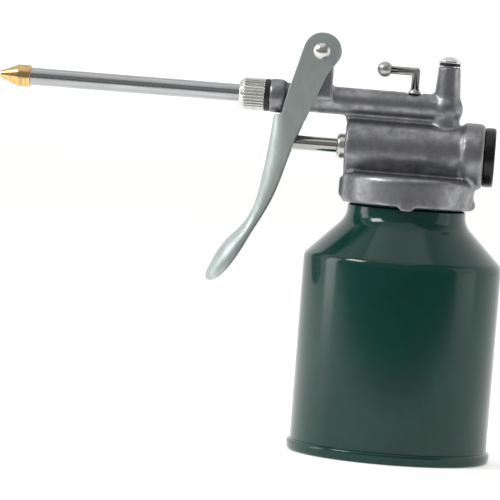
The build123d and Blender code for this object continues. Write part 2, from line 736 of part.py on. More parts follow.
with BuildPart() as outlet_ball:
    with Locations((VALVE_X, 0, OUTLET_SEAT_Z + BALL_RISE)):
        Sphere(BALL_RADIUS)
outlet_ball.part.label = "outlet_ball"
export_step(outlet_ball.part, "parts/outlet_ball.step")

VALVE_SPRING_WIRE = 0.22
VALVE_SPRING_BOTTOM = OUTLET_SEAT_Z + BALL_RISE + BALL_RADIUS + VALVE_SPRING_WIRE - 0.6
VALVE_SPRING_LENGTH = PLUG_BOTTOM - VALVE_SPRING_WIRE - 0.05 - VALVE_SPRING_BOTTOM
with BuildPart() as outlet_valve_spring:
    with BuildLine():
        fine_coil = Helix(
            pitch=VALVE_SPRING_LENGTH / 7,
            height=VALVE_SPRING_LENGTH,
            radius=2.1,
            center=(VALVE_X, 0, VALVE_SPRING_BOTTOM),
        )
    with BuildSketch(Plane(origin=fine_coil @ 0, z_dir=fine_coil % 0)):
        Circle(VALVE_SPRING_WIRE)
    sweep(path=fine_coil, is_frenet=True)
outlet_valve_spring.part.label = "outlet_valve_spring"
export_step(outlet_valve_spring.part, "parts/outlet_valve_spring.step")

# ------------------------------------------------------- inlet valve, dip tube, strainer
DIP_RADIUS = 2.4
DIP_BORE = 1.8
DIP_TOP = 91.5
DIP_BOTTOM = 6.0
with BuildPart() as inlet_valve_body:
    with BuildSketch(Plane.XY.offset(INLET_BOSS_BOTTOM - 2.5)):
        with Locations((VALVE_X, 0)):
            RegularPolygon(radius=4.9, side_count=6)
    extrude(amount=2.5)
    with BuildSketch(Plane.XY.offset(INLET_BOSS_BOTTOM)):
        with Locations((VALVE_X, 0)):
            Circle(INLET_THREAD_RADIUS)
    extrude(amount=INLET_SEAT_Z - INLET_BOSS_BOTTOM)
    with BuildSketch(Plane.XZ):
        with BuildLine():
            Polyline(
                (VALVE_X, INLET_BOSS_BOTTOM - 3),
                (VALVE_X + DIP_RADIUS, INLET_BOSS_BOTTOM - 3),
                (VALVE_X + DIP_RADIUS, DIP_TOP),
                (VALVE_X + SEAT_RADIUS, DIP_TOP),
                (VALVE_X + SEAT_RADIUS, INLET_SEAT_Z + 1),
                (VALVE_X, INLET_SEAT_Z + 1),
                close=True,
            )
        make_face()
    revolve(axis=VALVE_AXIS, mode=Mode.SUBTRACT)
inlet_valve_body.part.label = "inlet_valve_body"
export_step(inlet_valve_body.part, "parts/inlet_valve_body.step")

with BuildPart() as inlet_ball:
    with Locations((VALVE_X, 0, INLET_SEAT_Z + BALL_RISE)):
        Sphere(BALL_RADIUS)
inlet_ball.part.label = "inlet_ball"
export_step(inlet_ball.part, "parts/inlet_ball.step")

with BuildPart() as dip_tube:
    with BuildSketch(Plane.XY.offset(DIP_BOTTOM)):
        with Locations((VALVE_X, 0)):
            Circle(DIP_RADIUS)
            Circle(DIP_BORE, mode=Mode.SUBTRACT)
    extrude(amount=DIP_TOP - DIP_BOTTOM)
dip_tube.part.label = "dip_tube"
export_step(dip_tube.part, "parts/dip_tube.step")

STRAINER_BOTTOM = 3.8
STRAINER_TOP = 13.0
STRAINER_RADIUS = 4.2
STRAINER_WALL = 0.6
with BuildPart() as strainer:
    with Locations((VALVE_X, 0, (STRAINER_BOTTOM + STRAINER_TOP) / 2)):
        Cylinder(STRAINER_RADIUS, STRAINER_TOP - STRAINER_BOTTOM)
        Cylinder(
            STRAINER_RADIUS - STRAINER_WALL,
            STRAINER_TOP - STRAINER_BOTTOM - 2 * STRAINER_WALL,
            mode=Mode.SUBTRACT,
        )
    with Locations((VALVE_X, 0, STRAINER_TOP)):
        Cylinder(DIP_RADIUS, 4 * STRAINER_WALL, mode=Mode.SUBTRACT)
    # Slots all round, between two plain rims.
    with Locations(Location((VALVE_X, 0, (STRAINER_BOTTOM + STRAINER_TOP) / 2))):
        with PolarLocations(STRAINER_RADIUS, 10):
            Box(2.0, 0.8, STRAINER_TOP - STRAINER_BOTTOM - 6 * STRAINER_WALL, mode=Mode.SUBTRACT)
strainer.part.label = "strainer"
export_step(strainer.part, "parts/strainer.step")

# ------------------------------------------------------------------------------- spout
NUT_THREAD_RADIUS = NIPPLE_RADIUS + RUNNING_FIT
NUT_POCKET_FRONT = -59.2
FLANGE_REAR = NIPPLE_END - 0.1
FLANGE_FRONT = -58.9
with BuildPart() as spout_seal:
    with BuildSketch(Plane.YZ.offset(OUTLET_FACE - 1.55)):
        with Locations((0, TUBE_Z)):
            Circle(5.7)
            Circle(NIPPLE_RADIUS, mode=Mode.SUBTRACT)
    extrude(amount=1.55)
spout_seal.part.label = "spout_seal"
export_step(spout_seal.part, "parts/spout_seal.step")

with BuildPart() as spout_nut:
    with BuildSketch(Plane.XZ):
        with BuildLine():
            Polyline(
                (NUT_REAR, TUBE_Z + NUT_THREAD_RADIUS),
                (NUT_REAR, TUBE_Z + NUT_RADIUS - 0.4),
                (NUT_REAR - 0.4, TUBE_Z + NUT_RADIUS),
                (NUT_FRONT + 2.2, TUBE_Z + NUT_RADIUS),
            )
            ThreePointArc(
                (NUT_FRONT + 2.2, TUBE_Z + NUT_RADIUS),
                (NUT_FRONT + 0.75, TUBE_Z + 4.9),
                (NUT_FRONT, TUBE_Z + 3.5),
            )
            Polyline(
                (NUT_FRONT, TUBE_Z + 3.5),
                (NUT_FRONT, TUBE_Z + SPOUT_RADIUS + RUNNING_FIT),
                (NUT_POCKET_FRONT, TUBE_Z + SPOUT_RADIUS + RUNNING_FIT),
                (NUT_POCKET_FRONT, TUBE_Z + NUT_THREAD_RADIUS),
                (NUT_REAR, TUBE_Z + NUT_THREAD_RADIUS),
            )
        make_face()
    revolve(axis=TUBE_AXIS)
    with BuildSketch(Plane.YZ.offset(NUT_FRONT + 2.3)):
        with Locations((0, TUBE_Z)):
            with PolarLocations(NUT_RADIUS + 0.15, FLUTES):
                Circle(0.4)
    extrude(amount=6.0, mode=Mode.SUBTRACT)
spout_nut.part.label = "spout_nut"
export_step(spout_nut.part, "parts/spout_nut.step")

with BuildPart() as spout_ferrule:
    with BuildSketch(Plane.YZ.offset(FLANGE_FRONT)):
        with Locations((0, TUBE_Z)):
            Circle(NIPPLE_RADIUS - 0.15)
            Circle(SPOUT_RADIUS, mode=Mode.SUBTRACT)
    extrude(amount=FLANGE_REAR - FLANGE_FRONT)
spout_ferrule.part.label = "spout_ferrule"
export_step(spout_ferrule.part, "parts/spout_ferrule.step")

with BuildPart() as spout_tube:
    with BuildSketch(Plane.YZ.offset(SPOUT_END)):
        with Locations((0, TUBE_Z)):
            Circle(SPOUT_RADIUS)
            Circle(SPOUT_RADIUS - SPOUT_WALL, mode=Mode.SUBTRACT)
    extrude(amount=FLANGE_REAR - SPOUT_END)
spout_tube.part.label = "spout_tube"
export_step(spout_tube.part, "parts/spout_tube.step")

with BuildPart() as nozzle_tip:
    with BuildSketch(Plane.XZ):
        with BuildLine():
            FilletPolyline(
                (TIP_REAR, TUBE_Z + SPOUT_RADIUS),
                (TIP_REAR, TUBE_Z + TIP_RADIUS),
                (TIP_SHOULDER, TUBE_Z + TIP_RADIUS),
                (TIP_END, TUBE_Z + 1.15),
                (TIP_END, TUBE_Z + ORIFICE_RADIUS),
                (SPOUT_END, TUBE_Z + ORIFICE_RADIUS),
                (SPOUT_END, TUBE_Z + SPOUT_RADIUS),
                radius=(0.4, 0.5, 0.2, 0, 0),
            )
            Line((SPOUT_END, TUBE_Z + SPOUT_RADIUS), (TIP_REAR, TUBE_Z + SPOUT_RADIUS))
        make_face()
    revolve(axis=TUBE_AXIS)
nozzle_tip.part.label = "nozzle_tip"
export_step(nozzle_tip.part, "parts/nozzle_tip.step")
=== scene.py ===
"""Studio scene of a handy oiler: a lever-pumped oil can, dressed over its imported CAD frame."""

import json
import logging
import math
from dataclasses import dataclass
from enum import Enum
from typing import Any, Optional, Sequence

import bmesh
import bpy
import numpy as np
from mathutils import Matrix, Vector

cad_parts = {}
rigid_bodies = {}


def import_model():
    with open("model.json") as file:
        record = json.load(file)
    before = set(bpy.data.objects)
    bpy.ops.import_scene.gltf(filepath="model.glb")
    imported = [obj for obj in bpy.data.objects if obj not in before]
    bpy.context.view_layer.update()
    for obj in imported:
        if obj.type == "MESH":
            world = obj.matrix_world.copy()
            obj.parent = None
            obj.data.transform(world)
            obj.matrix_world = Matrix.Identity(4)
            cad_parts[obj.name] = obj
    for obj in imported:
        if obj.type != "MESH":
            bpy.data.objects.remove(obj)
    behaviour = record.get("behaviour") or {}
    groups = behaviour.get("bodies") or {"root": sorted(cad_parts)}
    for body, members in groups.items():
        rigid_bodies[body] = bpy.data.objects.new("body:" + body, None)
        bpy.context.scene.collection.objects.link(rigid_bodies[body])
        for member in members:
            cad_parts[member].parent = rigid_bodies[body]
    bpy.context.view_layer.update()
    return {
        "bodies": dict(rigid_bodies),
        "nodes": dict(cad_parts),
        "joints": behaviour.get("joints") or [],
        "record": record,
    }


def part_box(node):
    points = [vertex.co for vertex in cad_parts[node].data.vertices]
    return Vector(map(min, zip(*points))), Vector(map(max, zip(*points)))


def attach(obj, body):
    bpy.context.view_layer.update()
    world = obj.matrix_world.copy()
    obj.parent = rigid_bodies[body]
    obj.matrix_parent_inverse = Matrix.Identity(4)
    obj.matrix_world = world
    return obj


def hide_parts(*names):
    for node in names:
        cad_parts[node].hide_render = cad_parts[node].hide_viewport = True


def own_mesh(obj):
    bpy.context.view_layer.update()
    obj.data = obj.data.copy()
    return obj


log = logging.getLogger("oiler")
MM = 0.001
Node = bpy.types.Node
Socket = bpy.types.NodeSocket
Shape = tuple[np.ndarray, np.ndarray]  # vertices in millimetres, and four-sided faces


# ------------------------------------------------------------------------ shape helpers
class Axis(Enum):
    """Direction that a turned piece is turned about, with the two directions square to it."""

    ALONG_X = ((1, 0, 0), (0, 1, 0), (0, 0, 1))
    ALONG_Y = ((0, 1, 0), (0, 0, 1), (1, 0, 0))
    ALONG_Z = ((0, 0, 1), (1, 0, 0), (0, 1, 0))


def rounded_line(
    corners: Sequence[Sequence[float]], radii: Sequence[float], closed: bool = False, steps: int = 7
) -> np.ndarray:
    """Round the corners of a line in a plane with tangent arcs.

    An arc of radius r at a corner starts r / tan(half the corner's angle) before it, and is
    swept about the point on the bisector that is r / sin(half the angle) from the corner.
    A support point just outside each end of an arc keeps the straight runs' shading flat.

    Args:
        corners: The corners, as pairs.
        radii: One radius for each corner; 0 keeps it sharp. The ends of an open line stay put.
        closed: Whether the last corner joins the first.
        steps: Points on each arc.
    Returns:
        The points of the line, one pair a row.
    """
    line = np.asarray(corners, float)
    parts = []
    count = len(line)
    for index, radius in enumerate(radii):
        here = line[index]
        if radius <= 0 or (not closed and index in (0, count - 1)):
            parts.append(here[None])
            continue
        before = line[index - 1] - here
        after = line[(index + 1) % count] - here
        room = min(np.linalg.norm(before), np.linalg.norm(after))
        before = before / np.linalg.norm(before)
        after = after / np.linalg.norm(after)
        half = 0.5 * math.acos(float(np.clip(before @ after, -1, 1)))
        reach = radius / math.tan(half)
        middle = here + (before + after) / np.linalg.norm(before + after) * radius / math.sin(half)
        first = here + before * reach - middle
        last = here + after * reach - middle
        share = np.linspace(0, 1, steps)[:, None]
        sweep = math.pi - 2 * half
        arc = (np.sin((1 - share) * sweep) * first + np.sin(share * sweep) * last) / math.sin(sweep)
        spare = min(0.35 * radius, 0.4 * max(room - reach, 0.0))
        run = reach + spare
        parts.append(np.vstack([here + before * run, middle + arc, here + after * run]))
    return np.vstack(parts)


@dataclass(frozen=True)
class Profile:
    """The outline of a turned or cut piece: corners in mm, and how far each is rounded."""

    corners: tuple[tuple[float, float], ...]
    radii: tuple[float, ...]
    closed: bool = True
    steps: int = 7

    def line(self) -> np.ndarray:
        """Round the corners and give the line's points."""
        return rounded_line(self.corners, self.radii, self.closed, self.steps)


def dome(radius: float, height: float, steps: int = 9) -> np.ndarray:
    """Give a spherical dome's outline from its rim to its top.

    The sphere's radius is (radius^2 + height^2) / (2 height), and its centre is on the axis.

    Args:
        radius: Radius of the rim.
        height: Height of the top over the rim.
        steps: Points wanted.
    Returns:
        Heights and radii, one pair a row.
    """
    sphere = (radius**2 + height**2) / (2 * height)
    angle = np.linspace(math.asin(radius / sphere), 0, steps)
    return np.column_stack([sphere * np.cos(angle) - (sphere - height), sphere * np.sin(angle)])


def grid_faces(rows: int, columns: int, wrap_rows: bool, wrap_columns: bool) -> np.ndarray:
    """Number the four-sided faces between neighbouring points of a grid, row by row.

    Args:
        rows: Rows of points.
        columns: Points in a row.
        wrap_rows: Whether the last row joins the first.
        wrap_columns: Whether the last column joins the first.
    Returns:
        Four point numbers a row, counted along each row of the grid.
    """
    row = np.arange(rows if wrap_rows else rows - 1)[:, None]
    column = np.arange(columns if wrap_columns else columns - 1)[None]
    right = (column + 1) % columns
    below = (row + 1) % rows
    faces = np.stack(
        [row * columns + column, row * columns + right, below * columns + right, below * columns + column], -1
    )
    return faces.reshape(-1, 4)


def surface(grid: np.ndarray, wrap_rows: bool = False, wrap_columns: bool = False) -> Shape:
    """Turn a grid of points into vertices and four-sided faces.

    Args:
        grid: Points in millimetres, shaped rows x columns x 3.
        wrap_rows: Whether the last row joins the first.
        wrap_columns: Whether the last column joins the first.
    Returns:
        The vertices and the faces.
    """
    rows, columns = grid.shape[:2]
    return grid.reshape(-1, 3), grid_faces(rows, columns, wrap_rows, wrap_columns)


def turned(
    outline: np.ndarray,
    origin: Sequence[float],
    axis: Axis,
    closed: bool = True,
    around: int = 96,
    depth: Optional[np.ndarray] = None,
) -> Shape:
    """Turn an outline about an axis: point = origin + height * axis + radius * (cos a, sin a).

    Args:
        outline: Heights along the axis and radii, one pair a row.
        origin: Point on the axis, in millimetres.
        axis: The axis.
        closed: Whether the outline is a loop, as of a ring; if not, its ends lie on the axis.
        around: Points round the axis.
        depth: Amount cut off each radius, shaped outline points x around.
    Returns:
        The vertices and the faces.
    """
    angle = np.linspace(0, 2 * math.pi, around, endpoint=False)
    radius = np.repeat(outline[:, 1:2], around, 1) - (0 if depth is None else depth)
    main, first, second = (np.array(v, float) for v in axis.value)
    grid = (
        np.array(origin, float)
        + outline[:, :1, None] * main
        + radius[..., None] * (np.cos(angle)[:, None] * first + np.sin(angle)[:, None] * second)
    )
    return surface(grid, wrap_rows=closed, wrap_columns=True)


def joined(*parts: Shape) -> Shape:
    """Put several shapes' vertices and faces into one list of each."""
    offsets = np.cumsum([0] + [len(p[0]) for p in parts[:-1]])
    return np.vstack([p[0] for p in parts]), np.vstack([p[1] + o for p, o in zip(parts, offsets)])


def spline(table: Sequence[Sequence[float]], count: int) -> np.ndarray:
    """Run a natural cubic spline through the rows of a table.

    The parameter is the distance through the first two columns. Second derivatives M solve
    the usual three-term equations, with M = 0 at both ends.

    Args:
        table: The rows, whose first two columns are a place in a plane.
        count: Rows wanted.
    Returns:
        The rows, evenly spaced in the parameter.
    """
    rows = np.asarray(table, float)
    steps = np.linalg.norm(np.diff(rows[:, :2], axis=0), axis=1)
    knots = np.concatenate([[0.0], np.cumsum(steps)])
    size = len(rows)
    matrix = np.eye(size)
    inner = np.arange(1, size - 1)
    matrix[inner, inner - 1] = steps[:-1]
    matrix[inner, inner] = 2 * (steps[:-1] + steps[1:])
    matrix[inner, inner + 1] = steps[1:]
    slopes = np.diff(rows, axis=0) / steps[:, None]
    right = np.zeros_like(rows)
    right[1:-1] = 6 * np.diff(slopes, axis=0)
    bend = np.linalg.solve(matrix, right)
    wanted = np.linspace(0, knots[-1], count)
    cell = np.clip(np.searchsorted(knots, wanted, side="right") - 1, 0, size - 2)
    step = steps[cell][:, None]
    ahead = (wanted - knots[cell])[:, None] / step
    behind = 1 - ahead
    return (
        behind * rows[cell]
        + ahead * rows[cell + 1]
        + step**2 / 6 * ((behind**3 - behind) * bend[cell] + (ahead**3 - ahead) * bend[cell + 1])
    )


def evenly(line: np.ndarray, count: int) -> np.ndarray:
    """Give points evenly spaced along a line, by linear interpolation of its length."""
    length = np.concatenate([[0.0], np.cumsum(np.linalg.norm(np.diff(line, axis=0), axis=1))])
    wanted = np.linspace(0, length[-1], count)
    return np.column_stack([np.interp(wanted, length, line[:, i]) for i in range(line.shape[1])])


def offset(line: np.ndarray, distance: float, closed: bool = True) -> np.ndarray:
    """Move a line in a plane sideways, to the left of its run, square to its own direction.

    Args:
        line: The points, one pair a row.
        distance: How far to move; a negative distance moves it to the right.
        closed: Whether the last point joins the first.
    Returns:
        As many points, moved.
    """
    if closed:
        along = np.roll(line, -1, 0) - np.roll(line, 1, 0)
    else:
        along = np.gradient(line, axis=0)
    along = along / np.maximum(np.linalg.norm(along, axis=1), 1e-9)[:, None]
    return line + distance * np.column_stack([-along[:, 1], along[:, 0]])


def plate(outline: np.ndarray, middle: Sequence[float], low: float, high: float, edge: float) -> Shape:
    """Make a flat plate square to Y with rounded edges.

    Rows run from the low face's middle point out to the rim, round it and back: at an edge
    angle a the outline moves in by edge (1 - cos a) and the face lies edge (1 - sin a) in.

    Args:
        outline: Closed outline in X and Z, run so that its inside is on the left.
        middle: Point inside, from which the whole outline is seen.
        low: Y of one face.
        high: Y of the other.
        edge: Radius of the rounded edges.
    Returns:
        The vertices and the faces.
    """
    angle = np.linspace(math.pi / 2, 0, 5)
    insets = [edge + 0.15, *(edge * (1 - np.cos(angle)))]
    depths = [0.0, *(edge * (1 - np.sin(angle)))]
    rims = [offset(outline, inset) for inset in insets]
    point = np.repeat(np.array([middle], float), len(outline), 0)
    rings = [point, *rims, *rims[::-1], point]
    heights = [low, *(low + d for d in depths), *(high - d for d in depths[::-1]), high]
    lines = np.stack(rings)
    levels = np.repeat(np.array(heights)[:, None], lines.shape[1], 1)
    return surface(np.stack([lines[..., 0], levels, lines[..., 1]], -1), wrap_columns=True)


def make_piece(name: str, shape: Shape, sharp: float = 40.0) -> bpy.types.Object:
    """Make an object of a shape in millimetres.

    Args:
        name: The piece's name.
        shape: Vertices and faces; doubles are merged and faces turned outwards.
        sharp: Angle between faces, in degrees, from which an edge isn't shaded smooth.
    Returns:
        The object, linked to the scene.
    """
    mesh = bpy.data.meshes.new(name)
    mesh.from_pydata((shape[0] * MM).tolist(), [], shape[1].tolist())
    work = bmesh.new()
    work.from_mesh(mesh)
    bmesh.ops.remove_doubles(work, verts=work.verts, dist=1e-7)
    bmesh.ops.dissolve_degenerate(work, edges=work.edges, dist=1e-8)
    bmesh.ops.recalc_face_normals(work, faces=work.faces)
    work.to_mesh(mesh)
    work.free()
    mesh.shade_smooth()
    mesh.set_sharp_from_angle(angle=math.radians(sharp))
    piece = bpy.data.objects.new(name, mesh)
    bpy.context.scene.collection.objects.link(piece)
    return piece


# --------------------------------------------------------------------- material helpers
def linear(colour: str) -> tuple[float, float, float, float]:
    """Turn an sRGB hex colour into linear red, green, blue and an alpha of 1."""
    values = [int(colour[i : i + 2], 16) / 255 for i in (1, 3, 5)]
    return tuple([v / 12.92 if v <= 0.04045 else ((v + 0.055) / 1.055) ** 2.4 for v in values] + [1.0])


def add(
    tree: bpy.types.NodeTree, kind: str, settings: Optional[dict[str, Any]] = None, **inputs: Any
) -> Node:
    """Add a node with its settings and inputs.

    Args:
        tree: Node tree to add to.
        kind: Blender's name for the node type.
        settings: Properties of the node itself.
        inputs: Sockets by name, spaces written as underscores; a socket links, a value is set.
    Returns:
        The node.
    """
    node = tree.nodes.new(kind)
    for key, value in (settings or {}).items():
        setattr(node, key, value)
    for key, value in inputs.items():
        socket = node.inputs[int(key[1:])] if key[0] == "_" else node.inputs[key.replace("_", " ")]
        if isinstance(value, Socket):
            tree.links.new(value, socket)
        else:
            socket.default_value = value
    return node


def per_mm(size: float) -> float:
    """Give the texture scale whose features are a size in millimetres, in metres' coordinates."""
    return 1.0 / (size * MM)


@dataclass(frozen=True)
class Finish:
    """A finish: what the real material is, and how its surface was made.

    Fields give the base colour and a second one that mottles it, the metallic share, the
    roughness and how far it varies, the sizes of the mottle and of the relief in
    millimetres, the relief's height in millimetres, how far patterns stretch along X, Y and
    Z, and the IOR, which only a finish that isn't metal changes.
    """

    name: str
    colour: str
    second_colour: str
    metallic: float = 0.0
    roughness: float = 0.4
    roughness_range: float = 0.1
    mottle_mm: float = 6.0
    relief_mm: float = 0.8
    relief_height_mm: float = 0.01
    stretch: tuple[float, float, float] = (1.0, 1.0, 1.0)
    ior: float = 1.5

    def material(self) -> bpy.types.Material:
        """Build the material once, and give it again when asked again.

        Returns:
            The material.
        """
        known = bpy.data.materials.get(self.name)
        if known:
            return known
        material = bpy.data.materials.new(self.name)
        material.use_nodes = True
        tree = material.node_tree
        shader = tree.nodes["Principled BSDF"]
        shader.inputs["Metallic"].default_value = self.metallic
        shader.inputs["IOR"].default_value = self.ior
        place = add(tree, "ShaderNodeTexCoord").outputs["Object"]
        stretched = add(tree, "ShaderNodeMapping", Vector=place, Scale=[1 / s for s in self.stretch])
        mottle = add(
            tree, "ShaderNodeTexNoise", Vector=stretched.outputs["Vector"], Scale=per_mm(self.mottle_mm),
            Detail=4.0, Roughness=0.6,
        ).outputs["Fac"]
        share = add(tree, "ShaderNodeMapRange", Value=mottle, From_Min=0.35, From_Max=0.68).outputs["Result"]
        mix = add(
            tree, "ShaderNodeMix", {"data_type": "RGBA"}, Factor=share,
            _6=linear(self.colour), _7=linear(self.second_colour),
        )
        tree.links.new(mix.outputs[2], shader.inputs["Base Color"])
        rough = add(
            tree, "ShaderNodeMapRange", Value=mottle, From_Min=0.3, From_Max=0.7,
            To_Min=max(self.roughness - self.roughness_range, 0.02),
            To_Max=min(self.roughness + self.roughness_range, 1.0),
        )
        tree.links.new(rough.outputs["Result"], shader.inputs["Roughness"])
        relief = add(
            tree, "ShaderNodeTexNoise", Vector=stretched.outputs["Vector"], Scale=per_mm(self.relief_mm),
            Detail=3.0,
        )
        bump = add(
            tree, "ShaderNodeBump", Height=relief.outputs["Fac"], Distance=self.relief_height_mm * MM,
            Strength=1.0,
        )
        tree.links.new(bump.outputs["Normal"], shader.inputs["Normal"])
        return material


# Stoved gloss enamel on steel: deep green under soft-edged reflections, with a faint orange
# peel. Its IOR is set below the usual 1.5, so that the studio's bright floor doesn't grey it.
GLOSS_ENAMEL = Finish(
    "green_gloss_enamel", "#0A3A31", "#09322B", ior=1.4, roughness=0.13, roughness_range=0.03, mottle_mm=18,
    relief_mm=2.5, relief_height_mm=0.005,
)
# Pressure die casting in light alloy, tumbled: satin, grey, with a cloudy skin.
DIE_CAST = Finish(
    "tumbled_die_cast_alloy", "#98989B", "#757679", metallic=1.0, roughness=0.42, roughness_range=0.1,
    mottle_mm=4, relief_mm=0.6, relief_height_mm=0.02,
)
# Dull zinc plate on stamped steel sheet: pale grey-green, softly cloudy.
ZINC_SHEET = Finish(
    "dull_zinc_plated_sheet", "#B2BBB9", "#9CA5A3", metallic=0.9, roughness=0.5, roughness_range=0.07,
    mottle_mm=4, relief_mm=0.6, relief_height_mm=0.006, stretch=(1, 1, 2.5),
)
# Satin nickel on drawn tube: bright, with fine drawing lines along it.
SATIN_NICKEL = Finish(
    "satin_nickel_drawn_tube", "#B4B5B6", "#9D9EA0", metallic=1.0, roughness=0.22, roughness_range=0.06,
    mottle_mm=0.9, relief_mm=0.25, relief_height_mm=0.004, stretch=(24, 1, 1),
)
# Turned and nickelled steel: bright lands, fine turning marks.
TURNED_NICKEL = Finish(
    "satin_nickel_turned_steel", "#CFCFCA", "#C0C0BB", metallic=1.0, roughness=0.27, roughness_range=0.04,
    mottle_mm=2.5, relief_mm=0.8, relief_height_mm=0.0008,
)
# Pressed steel crank, barrel nickelled: satin, with softened edges.
SATIN_CAST_NICKEL = Finish(
    "barrel_nickelled_pressing", "#B9B9B7", "#A3A3A2", metallic=1.0, roughness=0.38, roughness_range=0.08,
    mottle_mm=2.5, relief_mm=0.8, relief_height_mm=0.004,
)
# Ground and polished steel: near mirror.
POLISHED_STEEL = Finish(
    "polished_steel", "#B2B1AE", "#A09F9C", metallic=1.0, roughness=0.1, roughness_range=0.04,
    mottle_mm=2, relief_mm=0.3, relief_height_mm=0.001, stretch=(12, 1, 1),
)
# Bright chromium plate.
CHROME = Finish(
    "bright_chrome_plate", "#D9DADC", "#CFD0D3", metallic=1.0, roughness=0.06, roughness_range=0.03,
    mottle_mm=3, relief_mm=0.5, relief_height_mm=0.0008,
)
# Turned brass, a little tarnished.
TURNED_BRASS = Finish(
    "turned_brass", "#DDBB80", "#BC9D68", metallic=1.0, roughness=0.25, roughness_range=0.08,
    mottle_mm=1.6, relief_mm=0.22, relief_height_mm=0.004, stretch=(0.5, 3, 3),
)
# Hard drawn spring wire, dark and slightly oily.
SPRING_WIRE = Finish(
    "hard_drawn_spring_wire", "#7C7C7E", "#5F6063", metallic=1.0, roughness=0.3, mottle_mm=1.0,
    relief_mm=0.3, relief_height_mm=0.003,
)
# Moulded nitrile rubber: black, low sheen.
NITRILE = Finish(
    "moulded_nitrile_rubber", "#070707", "#0D0D0C", roughness=0.5, mottle_mm=1.2, relief_mm=0.2,
    relief_height_mm=0.008,
)
# Moulded black plastic: satin, very fine grain. Its IOR is set low for the enamel's reason.
BLACK_PLASTIC = Finish(
    "moulded_black_plastic", "#050505", "#090909", ior=1.4, roughness=0.3, roughness_range=0.07, mottle_mm=3,
    relief_mm=0.35, relief_height_mm=0.005,
)


def dress(piece: bpy.types.Object, body: str, slot: str, finish: Finish, *nodes: str) -> None:
    """Give a new piece its finish, tie it to its body, and hide the nodes it stands for.

    Args:
        piece: The piece.
        body: Body it rides on.
        slot: Material slot in the part's record; not used.
        finish: Its finish.
        nodes: CAD nodes that it stands for.
    """
    piece.data.materials.clear()
    piece.data.materials.append(finish.material())
    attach(piece, body)
    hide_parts(*nodes)
    log.info("piece %s: %d faces, on %s", piece.name, len(piece.data.polygons), body)


def dress_node(frame: dict[str, Any], node: str, finish: Finish) -> None:
    """Give a CAD node that keeps its own shape a finish.

    Args:
        node: The node's name.
        finish: Its finish.
    """
    part = frame["nodes"][node]
    part.data.materials.clear()
    part.data.materials.append(finish.material())
    log.info("node %s: %s", node, finish.name)


# ------------------------------------------------------------------------ sub-assemblies
@dataclass
class Can:
    """The can: a pressed shell with its neck and mouth, and a seamed base. Sizes in mm."""

    radius: float = 35.0
    sheet: float = 0.6
    bead_radius: float = 36.4
    shell_bottom: float = 2.2
    seam_top: float = 4.1
    shoulder_z: float = 69.8
    neck_radius: float = 20.9
    neck_corner_z: float = 83.8
    neck_top: float = 88.0
    mouth_radius: float = 19.8
    mouth_top: float = 96.5
    around: int = 256
    shell_radii: tuple[float, ...] = (0, 3.6, 8.2, 0.5, 0.5, 0.25, 0.25, 0.5, 0.5, 7.8, 3.0, 0)
    base_radii: tuple[float, ...] = (0, 0.6, 0.4, 0.5, 0.4, 1.2, 1.25, 0, 0, 0, 0.15, 0.15, 0.4, 0.4, 0.6, 0)

    def shell(self) -> bpy.types.Object:
        """Turn the shell's outline, up the outside and down the inside, about the can's axis.

        The inside's corners slip down by the sheet times the tangent of half a bend of 45
        degrees, so that the cone's wall is as thick as the rest.

        Returns:
            The shell.
        """
        outside = [
            (self.shell_bottom, self.radius),
            (self.shoulder_z, self.radius),
            (self.neck_corner_z, self.neck_radius),
            (self.neck_top, self.neck_radius),
            (self.neck_top + 0.7, self.mouth_radius),
            (self.mouth_top, self.mouth_radius),
        ]
        slip = self.sheet * math.tan(math.radians(22.5))
        inside = [
            (self.mouth_top, self.mouth_radius - self.sheet),
            (self.neck_top + 0.6, self.mouth_radius - self.sheet),
            (self.neck_top - 0.2, self.neck_radius - self.sheet),
            (self.neck_corner_z - slip, self.neck_radius - self.sheet),
            (self.shoulder_z - slip, self.radius - self.sheet),
            (self.shell_bottom, self.radius - self.sheet),
        ]
        outline = rounded_line(outside + inside, self.shell_radii, closed=True, steps=14)
        return make_piece("can_shell_skin", turned(outline, (0, 0, 0), Axis.ALONG_Z, around=self.around))

    def base(self) -> bpy.types.Object:
        """Turn the base end: rolled bead, seam groove and a stepped recessed panel.

        Returns:
            The base end.
        """
        under = [(2.2, 0), (2.2, 25.5), (1.3, 26.6), (1.3, 32.2)]
        over = [(1.95, 32.6), (1.95, 26.3), (2.8, 25.2), (2.8, 0)]
        bead = [
            (0.0, self.radius - 1.4),
            (0.0, self.bead_radius - 0.7),
            (self.seam_top + 0.1, self.bead_radius - 0.05),
        ]
        groove = [
            (self.seam_top, self.radius),
            (self.shell_bottom + 0.05, self.radius),
            (self.shell_bottom + 0.05, self.radius - self.sheet),
            (self.seam_top, self.radius - self.sheet),
            (self.seam_top, self.radius - 2 * self.sheet),
        ]
        outline = rounded_line(under + bead + groove + over, self.base_radii, steps=8)
        shape = turned(outline, (0, 0, 0), Axis.ALONG_Z, closed=False, around=self.around)
        return make_piece("can_base_end", shape)

    def build(self) -> None:
        """Build the can and dress it in gloss enamel."""
        dress(self.shell(), "can", "can_enamel", GLOSS_ENAMEL, "can_shell")
        dress(self.base(), "can", "can_enamel", GLOSS_ENAMEL, "can_base")


